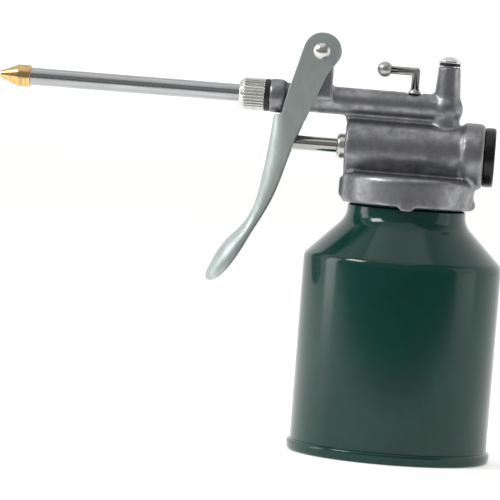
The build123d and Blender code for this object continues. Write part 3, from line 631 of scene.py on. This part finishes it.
@dataclass
class Lever:
    """The stamped lever: two cheeks on the pivot, a channel, and a spoon for the fingers.

    Each station gives the front line's X and Z, the rear line's X and Z, the half width,
    and how far the section has opened from a channel (0) to a spoon (1). Sizes in mm.
    """

    sheet: float = 1.3
    bend: float = 6.2
    top_bend: float = 3.6
    corner_rise: float = 2.6
    cheek: float = 7.6
    head_radius: float = 6.6
    pivot: tuple[float, float] = (-34.0, 141.1)
    pin_head: float = 2.9
    pin_rim: float = 0.3
    pin_dome: float = 1.3
    pin_radius: float = 2.0
    cheek_middle: tuple[float, float] = (-38.6, 127.5)
    cheek_edge: float = 0.3
    head_arc: tuple[float, float] = (-15, 166)
    cheek_front: tuple[tuple[float, float], ...] = (
        (-40.5, 142.3), (-43.4, 131.5), (-45.3, 124.0), (-46.1, 119.5), (-46.4, 115.6),
    )
    cheek_foot: tuple[tuple[float, float], ...] = ((-45.5, 115.2), (-39.6, 115.2))
    cheek_rear: tuple[tuple[float, float], ...] = (
        (-38.6, 115.8), (-37.6, 118.3), (-35.0, 124.0), (-30.9, 134.0), (-28.2, 138.2),
    )
    stations: tuple[tuple[float, ...], ...] = (
        (-49.3, 117.3, -38.0, 117.3, 7.6, 0.0),
        (-50.15, 110.0, -41.3, 109.6, 7.6, 0.0),
        (-51.3, 100.0, -44.6, 99.2, 7.6, 0.0),
        (-52.7, 90.5, -47.8, 89.0, 7.6, 0.05),
        (-54.4, 84.0, -51.0, 81.9, 7.7, 0.25),
        (-57.4, 78.2, -54.5, 75.4, 8.5, 0.6),
        (-62.2, 72.8, -57.6, 69.3, 9.5, 0.9),
        (-66.2, 66.8, -60.9, 63.6, 9.8, 1.0),
        (-68.4, 62.0, -64.2, 59.4, 8.2, 1.0),
        (-69.2, 59.6, -66.4, 57.8, 5.6, 1.0),
        (-69.25, 58.2, -68.0, 57.3, 2.8, 1.0),
        (-69.0, 57.5, -68.8, 57.3, 0.6, 1.0),
    )

    def sections(self, table: np.ndarray, columns: int) -> tuple[np.ndarray, np.ndarray]:
        """Work out each station's outer and inner line, as sideways and forward distances.

        The channel is a rounded three-sided line. The spoon is half an ellipse with axes W
        and D: (W sin a, D cos^0.85 a). The section is a blend of the two, and the inner line
        is the outer one moved in by the sheet, or by less where the section is small.

        Args:
            table: Stations, one a row.
            columns: Points in each line.
        Returns:
            The outer and the inner lines, each shaped stations x columns x 2.
        """
        outer, inner = [], []
        angle = np.linspace(-math.pi / 2, math.pi / 2, columns)
        bends = np.interp(np.arange(len(table)), (0, 16), (self.top_bend, self.bend))
        for wide, (front_x, front_z, rear_x, rear_z, width, spoon) in zip(bends, table):
            depth = math.hypot(front_x - rear_x, front_z - rear_z)
            bend = min(wide, 0.9 * depth, 0.85 * width)
            frame = rounded_line(
                [(-width, 0), (-width, depth), (width, depth), (width, 0)], [0, bend, bend, 0], steps=13
            )
            ellipse = np.column_stack([width * np.sin(angle), depth * np.cos(angle) ** 0.85])
            line = (1 - spoon) * evenly(frame, columns) + spoon * evenly(ellipse, columns)
            sheet = min(self.sheet, 0.4 * depth, 0.4 * width)
            outer.append(line)
            inner.append(offset(line, -sheet, closed=False))
        return np.array(outer), np.array(inner)

    def channel(self) -> Shape:
        """Carry the section down the stations: point = rear + forward distance * (front - rear) / D.

        The top edge rises round the bend into the cheeks by corner_rise times the square of
        how far the point lies behind the front, and the rise dies away down the lever. The
        sheet's two rims swell outwards by a half sine, so they look sheared and tumbled.

        Returns:
            The vertices and the faces.
        """
        table = spline(self.stations, 90)
        columns = 61
        shares = (0.15, 0.5, 0.85)
        outer, inner = self.sections(table, columns)
        rear = table[:, 2:4]
        ahead = table[:, 0:2] - rear
        ahead = ahead / np.linalg.norm(ahead, axis=1)[:, None]
        start, end = outer[:, :1], inner[:, :1]
        far_start, far_end = outer[:, -1:], inner[:, -1:]
        swell = 0.28 * np.linalg.norm(end - start, axis=2, keepdims=True) * np.array([0.0, -1.0])
        near_rim = [end * (1 - t) + start * t + swell * math.sin(math.pi * t) for t in shares]
        far_rim = [far_start * (1 - t) + far_end * t + swell * math.sin(math.pi * t) for t in shares]
        loop = np.concatenate([outer, *far_rim, inner[:, ::-1], *near_rim], axis=1)
        side, forward = loop[..., 0], loop[..., 1]
        depth = forward.max(axis=1, keepdims=True)
        fade = np.clip(1 - np.arange(len(table)) / 10, 0, 1)[:, None] ** 2
        lift = self.corner_rise * np.clip((depth - forward) / self.top_bend, 0, 1) ** 2 * fade
        x = rear[:, None, 0] + forward * ahead[:, None, 0] + 0.12 * lift
        z = rear[:, None, 1] + forward * ahead[:, None, 1] + lift
        points, faces = surface(np.stack([x, side, z], -1), wrap_columns=True)
        across = np.arange(columns - 1)
        back = 2 * columns + 2 - across
        top = np.column_stack([across, across + 1, back - 1, back])
        last = (len(table) - 1) * loop.shape[1]
        return points, np.vstack([faces, top, top[:, ::-1] + last])

    def cheeks(self) -> Shape:
        """Make the two cheek plates: an arc of the head's circle joined to the shank's two lines.

        Returns:
            The vertices and the faces of both.
        """
        x, z = self.pivot
        angle = np.radians(np.linspace(*self.head_arc, 40))
        head = np.column_stack([x + self.head_radius * np.cos(angle), z + self.head_radius * np.sin(angle)])
        front, rear = spline(self.cheek_front, 30), spline(self.cheek_rear, 30)
        foot = np.linspace(*self.cheek_foot, 10)
        outline = evenly(np.vstack([head, front, foot, rear, head[:1]]), 200)[:-1]
        inner, outer = self.cheek - self.sheet + 0.01, self.cheek - 0.01
        one = plate(outline, self.cheek_middle, inner, outer, self.cheek_edge)
        other = plate(outline, self.cheek_middle, -outer, -inner, self.cheek_edge)
        return joined(one, other)

    def pin(self) -> bpy.types.Object:
        """Turn the pivot rivet, with a domed head outside each cheek.

        Returns:
            The rivet.
        """
        top = dome(self.pin_head - 0.12, self.pin_dome) + (self.cheek + self.pin_rim, 0.0)
        under = [
            (self.cheek, self.pin_radius),
            (self.cheek, self.pin_head),
            (self.cheek + self.pin_rim - 0.1, self.pin_head),
        ]
        half = np.vstack([under, top])
        outline = np.vstack([half[::-1] * (-1, 1), half])
        x, z = self.pivot
        return make_piece("pivot_rivet", turned(outline, (x, 0, z), Axis.ALONG_Y, closed=False, around=64))

    def build(self) -> None:
        """Build the lever and its rivet."""
        blank = make_piece("lever_stamping", joined(self.channel(), self.cheeks()))
        dress(blank, "lever", "zinc_steel", ZINC_SHEET, "lever")
        dress(self.pin(), "lever", "bright_steel", TURNED_NICKEL, "pivot_pin")


@dataclass
class PumpHead:
    """The die-cast pump head and the turned parts screwed into it. Sizes in mm."""

    voxel: float = 0.62
    smoothing: int = 7
    pump_z: float = 108.2
    valve_x: float = 11.2
    collar_radius: float = 23.3
    rib_top: float = 93.0
    rib_width: float = 4.0
    rib_share: float = 0.35
    gland_profile: Profile = Profile(
        corners=((-26.5, 2.66), (-26.5, 4.6), (-23.45, 4.6), (-23.45, 3.6), (-20.0, 3.6), (-20.0, 2.66)),
        radii=(0.25, 1.3, 0.15, 0, 0, 0),
    )
    plug_profile: Profile = Profile(
        corners=(
            (21.2, 0), (21.2, 8.1), (25.8, 8.1), (25.8, 10.5),
            (29.5, 10.5), (29.5, 5.3), (28.5, 5.0), (28.5, 0),
        ),
        radii=(0, 0.2, 0, 0.35, 0.9, 0.35, 0.3, 0),
        closed=False,
    )
    cap_profile: Profile = Profile(
        corners=((133.0, 0), (133.0, 2.6), (140.3, 2.6), (140.3, 4.2), (141.1, 4.2), (141.35, 3.6)),
        radii=(0, 0.2, 0, 0.25, 0.3, 0),
        closed=False,
    )
    cap_dome: tuple[float, float, float] = (3.55, 1.35, 141.4)

    def casting(self) -> bpy.types.Object:
        """Copy the casting, merge its doubles, remesh it and smooth it into cast radii.

        Smoothing moves each point half way to the mean of its neighbours, which rounds
        inside and outside corners by about the voxel's size times the root of the rounds.

        Returns:
            The casting.
        """
        mesh = bpy.data.objects["pump_casting"].data.copy()
        work = bmesh.new()
        work.from_mesh(mesh)
        bmesh.ops.remove_doubles(work, verts=work.verts, dist=1e-6)
        work.to_mesh(mesh)
        work.free()
        piece = bpy.data.objects.new("pump_head_casting", mesh)
        bpy.context.scene.collection.objects.link(piece)
        remesh = piece.modifiers.new("remesh", "REMESH")
        remesh.mode = "VOXEL"
        remesh.voxel_size = self.voxel * MM
        remesh.use_smooth_shade = True
        smooth = piece.modifiers.new("smooth", "SMOOTH")
        smooth.factor = 0.5
        smooth.iterations = self.smoothing
        seen = piece.evaluated_get(bpy.context.evaluated_depsgraph_get())
        settled = bpy.data.meshes.new_from_object(seen)
        piece.modifiers.clear()
        piece.data = settled
        self.draw_in_ribs(settled)
        return piece

    def draw_in_ribs(self, mesh: bpy.types.Mesh) -> None:
        """Soften the collar's two ribs: beyond its radius, a point keeps only a share of the way.

        Args:
            mesh: The casting's mesh, changed in place.
        """
        points = np.empty(len(mesh.vertices) * 3)
        mesh.vertices.foreach_get("co", points)
        points = points.reshape(-1, 3) / MM
        radius = np.hypot(points[:, 0], points[:, 1])
        low, narrow = points[:, 2] < self.rib_top, np.abs(points[:, 0]) < self.rib_width
        wanted = self.collar_radius + self.rib_share * (radius - self.collar_radius)
        proud = (radius > self.collar_radius) & low & narrow
        share = np.where(proud, wanted / np.maximum(radius, 1e-6), 1.0)
        points[:, :2] *= share[:, None]
        mesh.vertices.foreach_set("co", (points * MM).ravel())
        mesh.update()

    def gland(self) -> bpy.types.Object:
        """Turn the gland nut that the rod runs through."""
        shape = turned(self.gland_profile.line(), (0, 0, self.pump_z), Axis.ALONG_X)
        return make_piece("rod_gland_nut", shape)

    def rear_plug(self) -> bpy.types.Object:
        """Turn the moulded plug behind the barrel, with its shallow recess."""
        line = self.plug_profile.line()
        shape = turned(line, (0, 0, self.pump_z), Axis.ALONG_X, closed=False, around=128)
        return make_piece("rear_plug_moulding", shape)

    def valve_plug(self) -> bpy.types.Object:
        """Turn the outlet valve's domed cap: stem, rounded rim, then the dome.

        Returns:
            The cap.
        """
        radius, height, foot = self.cap_dome
        line = np.vstack([self.cap_profile.line(), dome(radius, height, 12) + (foot, 0.0)])
        return make_piece("valve_cap", turned(line, (self.valve_x, 0, 0), Axis.ALONG_Z, closed=False))

    def build(self) -> None:
        """Build the casting and the parts screwed into it, and dress them."""
        dress(self.casting(), "pump_head", "cast_metal", DIE_CAST, "pump_casting")
        dress(self.gland(), "pump_head", "nut_steel", TURNED_NICKEL, "rod_gland")
        dress(self.rear_plug(), "pump_head", "plug_black", BLACK_PLASTIC, "rear_plug")
        dress(self.valve_plug(), "pump_head", "chrome_cap", CHROME, "valve_plug")


@dataclass
class StopCock:
    """The stop cock's cranked handle with its ball. Sizes in mm."""

    x: float = -0.5
    foot_z: float = 128.65
    bar: float = 2.9
    top_z: float = 137.85
    width: float = 3.1
    ball_x: float = -11.5
    ball_radius: float = 2.8
    edge: float = 0.85
    arm_radii: tuple[float, ...] = (0.3, 1.2, 0.3, 0.3, 0.45, 0.3)
    foot_profile: Profile = Profile(
        corners=((128.65, 0), (128.65, 2.3), (128.95, 2.3), (130.6, 1.4), (130.6, 0)),
        radii=(0, 0, 0.4, 0.2, 0),
        closed=False,
    )

    def build(self) -> None:
        """Build the crank as a rounded L-shaped bar, a flared foot and a ball, in one piece."""
        half = self.bar / 2
        under = self.top_z - self.bar
        outline = [
            (self.x + half, self.foot_z + 0.3),
            (self.x + half, self.top_z),
            (self.ball_x, self.top_z),
            (self.ball_x, under),
            (self.x - half, under),
            (self.x - half, self.foot_z + 0.3),
        ]
        line = rounded_line(outline, self.arm_radii, closed=True, steps=9)
        bar = plate(line, (self.x, self.top_z - half), -self.width / 2, self.width / 2, self.edge)
        foot = turned(self.foot_profile.line(), (self.x, 0, 0), Axis.ALONG_Z, closed=False, around=48)
        angle = np.linspace(0, math.pi, 25)
        circle = self.ball_radius * np.column_stack([-np.cos(angle), np.sin(angle)])
        ball = turned(circle, (self.ball_x, 0, self.top_z - half), Axis.ALONG_X, closed=False, around=48)
        handle = make_piece("cock_handle", joined(bar, foot, ball))
        dress(handle, "stop_cock", "nut_steel", SATIN_CAST_NICKEL, "cock_arm")


@dataclass
class Spout:
    """The spout's fluted union nut and its brass tip. Sizes in mm."""

    height: float = 124.1
    flutes: int = 30
    flute_depth: float = 0.42
    grip_radius: float = 5.65
    grip_ends: tuple[float, float] = (-59.4, -53.8)
    nut_profile: Profile = Profile(
        corners=(
            (-62.3, 3.2), (-62.3, 4.3), (-60.4, 5.65), (-53.2, 5.65), (-53.2, 4.3), (-59.2, 4.3),
            (-59.2, 3.2),
        ),
        radii=(0.15, 1.0, 1.6, 0.35, 0, 0, 0),
        steps=12,
    )
    tip_profile: Profile = Profile(
        corners=(
            (-136.5, 3.1), (-136.5, 3.9), (-141.0, 3.9), (-147.4, 1.15), (-147.4, 0.75), (-139.5, 0.75),
            (-139.5, 3.1),
        ),
        radii=(0, 0.4, 0.7, 0.3, 0.12, 0, 0),
    )

    def nut(self) -> bpy.types.Object:
        """Turn the nut and cut its flutes.

        At angle a the radius is less by depth ((1 + cos(flutes a)) / 2)^1.4, faded in over
        the first part of the grip and out at the rounded front.

        Returns:
            The nut.
        """
        outline = self.nut_profile.line()
        grip = np.column_stack([np.linspace(*self.grip_ends, 24), np.full(24, self.grip_radius)])
        first = int(np.argmax((outline[:, 0] > -59.5) & (outline[:, 1] > 5.6)))
        outline = np.vstack([outline[:first], grip, outline[first + 1 :]])
        x, radius = outline.T
        share = np.clip((x + 61.0) / 1.1, 0, 1) * np.clip((-53.15 - x) / 0.3, 0, 1) * (radius > 4.4)
        angle = np.linspace(0, 2 * math.pi, 360, endpoint=False)
        wave = (0.5 + 0.5 * np.cos(self.flutes * angle)) ** 1.4
        depth = self.flute_depth * share[:, None] * wave[None]
        shape = turned(outline, (0, 0, self.height), Axis.ALONG_X, around=360, depth=depth)
        return make_piece("spout_union_nut", shape, sharp=180.0)

    def tip(self) -> bpy.types.Object:
        """Turn the brass tip: a short cylinder, then a cone to the orifice."""
        shape = turned(self.tip_profile.line(), (0, 0, self.height), Axis.ALONG_X)
        return make_piece("nozzle_tip_turning", shape)

    def build(self) -> None:
        """Build the nut and the tip."""
        dress(self.nut(), "spout_nut", "nut_steel", TURNED_NICKEL, "spout_nut")
        dress(self.tip(), "spout", "tip_brass", TURNED_BRASS, "nozzle_tip")


@dataclass
class Spring:
    """A helical compression spring, coiled at rest between its node's ends. Sizes in mm.

    The centre's value along the axis isn't used: the ends come from the node's own box.
    """

    node: str
    body: str
    axis: Axis
    centre: tuple[float, float, float]
    wire: float
    coil: float
    turns: int
    joint: str
    travel: float
    steps: int = 36
    around: int = 10

    def coiled(self, low: float, high: float) -> Shape:
        """Carry the wire's circle along a helix.

        At share t the centre line is low + t (high - low) along the axis, at coil radius R
        and angle 2 pi turns t. The circle lies in the outward direction and the one square
        to it and to the line's run; it shrinks to a point at both ends, which closes them.

        Args:
            low: Start of the centre line along the axis.
            high: Its end.
        Returns:
            The vertices and the faces.
        """
        main, first, second = (np.array(v, float) for v in self.axis.value)
        share = np.linspace(0, 1, self.steps * self.turns + 1)[:, None]
        angle = 2 * math.pi * self.turns * share
        outward = np.cos(angle) * first + np.sin(angle) * second
        along = np.cos(angle) * second - np.sin(angle) * first
        run = 2 * math.pi * self.turns * self.coil * along + (high - low) * main
        run = run / np.linalg.norm(run, axis=1, keepdims=True)
        upward = np.cross(run, outward)
        start = np.array(self.centre) * (1 - main) + low * main
        line = start + share * (high - low) * main + self.coil * outward
        around = np.linspace(0, 2 * math.pi, self.around, endpoint=False)[None, :, None]
        circle = np.cos(around) * outward[:, None] + np.sin(around) * upward[:, None]
        rings = line[:, None] + self.wire * circle
        ends = np.repeat(line[[0, -1], None], self.around, 1)
        return surface(np.concatenate([ends[:1], rings, ends[1:]]), wrap_columns=True)

    def build(self) -> None:
        """Build the spring between its node's ends."""
        column = int(np.argmax(self.axis.value[0]))
        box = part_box(self.node)
        low, high = (box[side][column] / MM + inset for side, inset in ((0, self.wire), (1, -self.wire)))
        piece = make_piece(f"{self.node}_coil", self.coiled(low, high))
        dress(piece, self.body, "spring_steel", SPRING_WIRE, self.node)
        anchor = [v * MM for v in self.centre]
        anchor[column] = (high + self.wire) * MM
        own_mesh(piece)


RETURN_SPRING = Spring(
    node="return_spring", body="pump_head", axis=Axis.ALONG_X, centre=(0, 0, 108.2), wire=0.5, coil=5.4,
    turns=8, joint="plunger_slide", travel=9.8,
)
VALVE_SPRING = Spring(
    node="outlet_valve_spring", body="pump_head", axis=Axis.ALONG_Z, centre=(11.2, 0, 0), wire=0.22,
    coil=2.1, turns=7, joint="outlet_ball_lift", travel=1.5,
)


# -------------------------------------------------------------------------------- studio
@dataclass(frozen=True)
class Softbox:
    """A rectangular light: its place, size and aim in metres, and its power in watts."""

    name: str
    where: tuple[float, float, float]
    size: tuple[float, float]
    power: float
    aim: tuple[float, float, float]

    def hang(self) -> None:
        """Hang the light at its place, aimed at its point."""
        data = bpy.data.lights.new(self.name, "AREA")
        data.shape = "RECTANGLE"
        data.size, data.size_y = self.size
        data.energy = self.power
        light = bpy.data.objects.new(self.name, data)
        light.location = self.where
        ray = Vector(self.aim) - Vector(self.where)
        light.rotation_euler = ray.to_track_quat("-Z", "Y").to_euler()
        bpy.context.scene.collection.objects.link(light)


@dataclass
class Studio:
    """Camera, lights, sky and floor. Angles in degrees, distances in metres."""

    azimuth: float = 2.5
    elevation: float = 3.0
    roll: float = 4.5
    distance: float = 1.5
    frame_width: float = 0.1773
    target: tuple[float, float, float] = (-0.05415, 0.0, 0.06883)
    backdrop: float = 1.15
    room: float = 0.3
    ceiling: float = 0.72
    floor_reach: float = 3.0
    floor_drop: float = 0.00005
    floor_glow: float = 0.42
    # Y in metres where the floor's painted shade starts and where it is full: a dim band standing in for the
    # dark room in front.
    painted_shade_from: float = -0.2
    painted_shade_to: float = -0.52
    lights: tuple[Softbox, ...] = (
        Softbox("key_softbox", (-0.62, -0.30, 0.62), (0.3, 0.2), 3.2, (0, 0, 0.08)),
        Softbox("left_panel", (-0.95, -0.02, 0.26), (0.28, 0.6), 2.1, (0, 0, 0.07)),
        Softbox("top_panel", (-0.1, -0.28, 1.0), (0.9, 0.9), 1.9, (0, 0, 0.05)),
        Softbox("right_panel", (0.9, -0.15, 0.30), (0.5, 0.7), 1.0, (0, 0, 0.07)),
    )

    def camera(self) -> None:
        """Stand the camera off the target along its azimuth and elevation, and roll it."""
        data = bpy.data.cameras.new("camera")
        data.sensor_width = 36.0
        data.lens = 36.0 * self.distance / self.frame_width
        data.clip_start = 0.05
        camera = bpy.data.objects.new("camera", data)
        bpy.context.scene.collection.objects.link(camera)
        azimuth, elevation, roll = (math.radians(a) for a in (self.azimuth, self.elevation, self.roll))
        level_share = math.cos(elevation)
        back = Vector(
            (math.sin(azimuth) * level_share, -math.cos(azimuth) * level_share, math.sin(elevation))
        )
        level = Vector((math.cos(azimuth), math.sin(azimuth), 0.0))
        upright = back.cross(level)
        right = math.cos(roll) * level + math.sin(roll) * upright
        above = back.cross(right)
        turn = Matrix((right, above, back)).transposed().to_4x4()
        camera.matrix_world = Matrix.Translation(Vector(self.target) + back * self.distance) @ turn
        bpy.context.scene.camera = camera
        bpy.context.scene.view_settings.view_transform = "Standard"

    def sky(self) -> None:
        """Light the back white, and leave the room in front and the ceiling dim.

        Brightness runs smoothly from the backdrop's at the back to the room's at the
        front, times a share that falls from 1 at the horizon to the ceiling's overhead.
        """
        world = bpy.data.worlds.new("studio_sky")
        bpy.context.scene.world = world
        world.use_nodes = True
        tree = world.node_tree
        back = tree.nodes["Background"]
        way = add(tree, "ShaderNodeTexCoord").outputs["Generated"]
        parts = add(tree, "ShaderNodeSeparateXYZ", Vector=way).outputs
        depth = add(
            tree, "ShaderNodeMapRange", {"interpolation_type": "SMOOTHSTEP"}, Value=parts["Y"],
            From_Min=-0.22, From_Max=0.32, To_Min=self.room, To_Max=self.backdrop,
        ).outputs["Result"]
        height = add(
            tree, "ShaderNodeMapRange", {"interpolation_type": "SMOOTHSTEP"}, Value=parts["Z"],
            From_Min=0.3, From_Max=0.95, To_Min=1.0, To_Max=self.ceiling,
        ).outputs["Result"]
        product = add(tree, "ShaderNodeMath", {"operation": "MULTIPLY"}, _0=depth, _1=height).outputs["Value"]
        tree.links.new(product, back.inputs["Strength"])
        back.inputs["Color"].default_value = (1.0, 1.0, 1.0, 1.0)

    def floor(self) -> None:
        """Lay a pale floor that darkens far out in front: painted shade, a dark grey band standing in for the
        dim room that the metal reflects.
        """
        mesh = bpy.data.meshes.new("floor")
        signs = ((-1, -1), (1, -1), (1, 1), (-1, 1))
        points = [(x * self.floor_reach, y * self.floor_reach, -self.floor_drop) for x, y in signs]
        mesh.from_pydata(points, [], [(0, 1, 2, 3)])
        floor = bpy.data.objects.new("floor", mesh)
        bpy.context.scene.collection.objects.link(floor)
        material = bpy.data.materials.new("matt_white_paper_and_painted_shade")
        material.use_nodes = True
        tree = material.node_tree
        shader = tree.nodes["Principled BSDF"]
        shader.inputs["Roughness"].default_value = 0.9
        place = add(tree, "ShaderNodeTexCoord").outputs["Object"]
        depth = add(tree, "ShaderNodeSeparateXYZ", Vector=place).outputs["Y"]
        share = add(
            tree, "ShaderNodeMapRange", {"interpolation_type": "SMOOTHSTEP"}, Value=depth,
            From_Min=self.painted_shade_to, From_Max=self.painted_shade_from,
        ).outputs["Result"]
        # Painted shade: far out in front the floor's colour, and its glow, turn dark grey, standing in for
        # the dim room that the metal reflects.
        mix = add(
            tree, "ShaderNodeMix", {"data_type": "RGBA"}, Factor=share,
            _6=linear("#47484A"), _7=linear("#FAFAF8"),
        )
        tree.links.new(mix.outputs[2], shader.inputs["Base Color"])
        tree.links.new(mix.outputs[2], shader.inputs["Emission Color"])
        shader.inputs["Emission Strength"].default_value = self.floor_glow
        mesh.materials.append(material)

    def build(self) -> None:
        """Set up the whole studio."""
        self.camera()
        self.sky()
        self.floor()
        for light in self.lights:
            light.hang()


# The CAD nodes that keep their own shape, and their finishes.
NODE_FINISHES: dict[str, Finish] = {
    "neck_gasket": NITRILE,
    "gland_packing": NITRILE,
    "rear_plug_seal": NITRILE,
    "valve_plug_seal": NITRILE,
    "cock_seal": NITRILE,
    "spout_seal": NITRILE,
    "inlet_valve_body": TURNED_BRASS,
    "dip_tube": SATIN_NICKEL,
    "strainer": TURNED_BRASS,
    "plunger_rod": POLISHED_STEEL,
    "piston": TURNED_BRASS,
    "piston_cup": NITRILE,
    "piston_nut": TURNED_NICKEL,
    "cock_spindle": POLISHED_STEEL,
    "inlet_ball": POLISHED_STEEL,
    "outlet_ball": POLISHED_STEEL,
    "spout_tube": SATIN_NICKEL,
    "spout_ferrule": TURNED_NICKEL,
}


def corners(bounds: Any) -> list[list[float]]:
    """Give a box's lowest and highest corner as plain lists."""
    return [[float(v) for v in corner] for corner in bounds]


def main() -> None:
    """Load the frame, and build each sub-assembly in order."""
    logging.basicConfig(level=logging.INFO, format="%(name)s: %(message)s")
    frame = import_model()
    Studio().build()
    for node, finish in NODE_FINISHES.items():
        dress_node(frame, node, finish)
    for assembly in (Can(), PumpHead(), Lever(), StopCock(), Spout(), RETURN_SPRING, VALVE_SPRING):
        assembly.build()
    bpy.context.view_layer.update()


if __name__ == "__main__":
    main()
